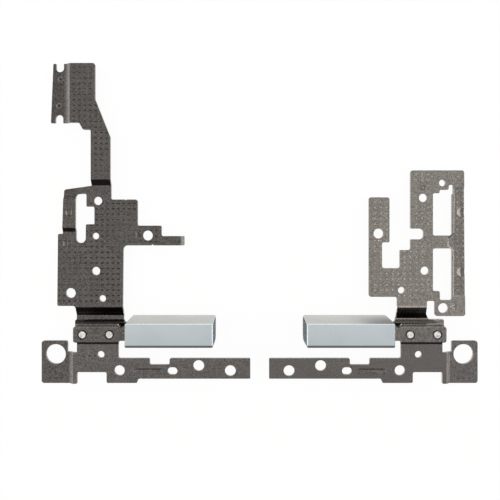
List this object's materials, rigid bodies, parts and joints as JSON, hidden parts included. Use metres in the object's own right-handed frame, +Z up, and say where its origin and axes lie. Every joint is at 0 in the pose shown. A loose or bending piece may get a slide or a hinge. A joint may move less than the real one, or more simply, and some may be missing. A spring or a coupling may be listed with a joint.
{
  "type": "laptop hinge pair",
  "caption": "Left and right full-turn laptop hinges, each with two shafts in a cap, a stamped base bracket and a long display bracket.",
  "frame": {"origin": "middle of the pair's box, on the table it lies on", "axes": "+X along the shafts from the left hinge to the right one, +Y from the display arms to the base brackets, +Z up, from the base shafts to the display shafts"},
  "size_m": [0.1538, 0.1142, 0.0131],
  "materials": {
    "base_bracket_steel": "satin, grained, with coined dimples",
    "display_bracket_steel": "satin, grained, with coined dimples",
    "cap_paint": "pale satin paint",
    "shaft_steel": "dull grey",
    "rivet_steel": "bright",
    "plate_steel": "ground",
    "disc_steel": "ground",
    "spring_steel": "blued",
    "nut_steel": "zinc plated"
  },
  "bodies": {
    "base_brackets": {"left_system_bracket": "base_bracket_steel", "left_system_shaft": "shaft_steel", "left_system_rivets": "rivet_steel", "left_system_cam": "disc_steel", "left_system_friction_washers": "disc_steel", "left_system_spring_washers": "spring_steel", "left_system_nut": "nut_steel", "right_system_bracket": "base_bracket_steel", "right_system_shaft": "shaft_steel", "right_system_rivets": "rivet_steel", "right_system_cam": "disc_steel", "right_system_friction_washers": "disc_steel", "right_system_spring_washers": "spring_steel", "right_system_nut": "nut_steel"},
    "left_barrel": {"left_hinge_cap": "cap_paint", "left_end_plate": "plate_steel", "left_lock_slider": "plate_steel", "left_friction_plates": "plate_steel"},
    "left_display_arm": {"left_display_bracket": "display_bracket_steel", "left_display_shaft": "shaft_steel", "left_display_rivets": "rivet_steel", "left_display_cam": "disc_steel", "left_display_friction_washers": "disc_steel", "left_display_spring_washers": "spring_steel", "left_display_nut": "nut_steel"},
    "right_barrel": {"right_hinge_cap": "cap_paint", "right_end_plate": "plate_steel", "right_lock_slider": "plate_steel", "right_friction_plates": "plate_steel"},
    "right_display_arm": {"right_display_bracket": "display_bracket_steel", "right_display_shaft": "shaft_steel", "right_display_rivets": "rivet_steel", "right_display_cam": "disc_steel", "right_display_friction_washers": "disc_steel", "right_display_spring_washers": "spring_steel", "right_display_nut": "nut_steel"}
  },
  "joints": [
    {"name": "left_base_shaft_turn", "type": "hinge", "parent": "base_brackets", "child": "left_barrel", "pos_m": [-0.0363, -0.0392, 0.0032], "axis": [1, 0, 0], "range_deg": [0, 180]},
    {"name": "left_display_shaft_turn", "type": "hinge", "parent": "left_barrel", "child": "left_display_arm", "pos_m": [-0.0363, -0.0392, 0.0099], "axis": [1, 0, 0], "range_deg": [-180, 0]},
    {"name": "right_base_shaft_turn", "type": "hinge", "parent": "base_brackets", "child": "right_barrel", "pos_m": [0.0363, -0.0392, 0.0032], "axis": [1, 0, 0], "range_deg": [0, 180]},
    {"name": "right_display_shaft_turn", "type": "hinge", "parent": "right_barrel", "child": "right_display_arm", "pos_m": [0.0363, -0.0392, 0.0099], "axis": [1, 0, 0], "range_deg": [-180, 0]}
  ]
}
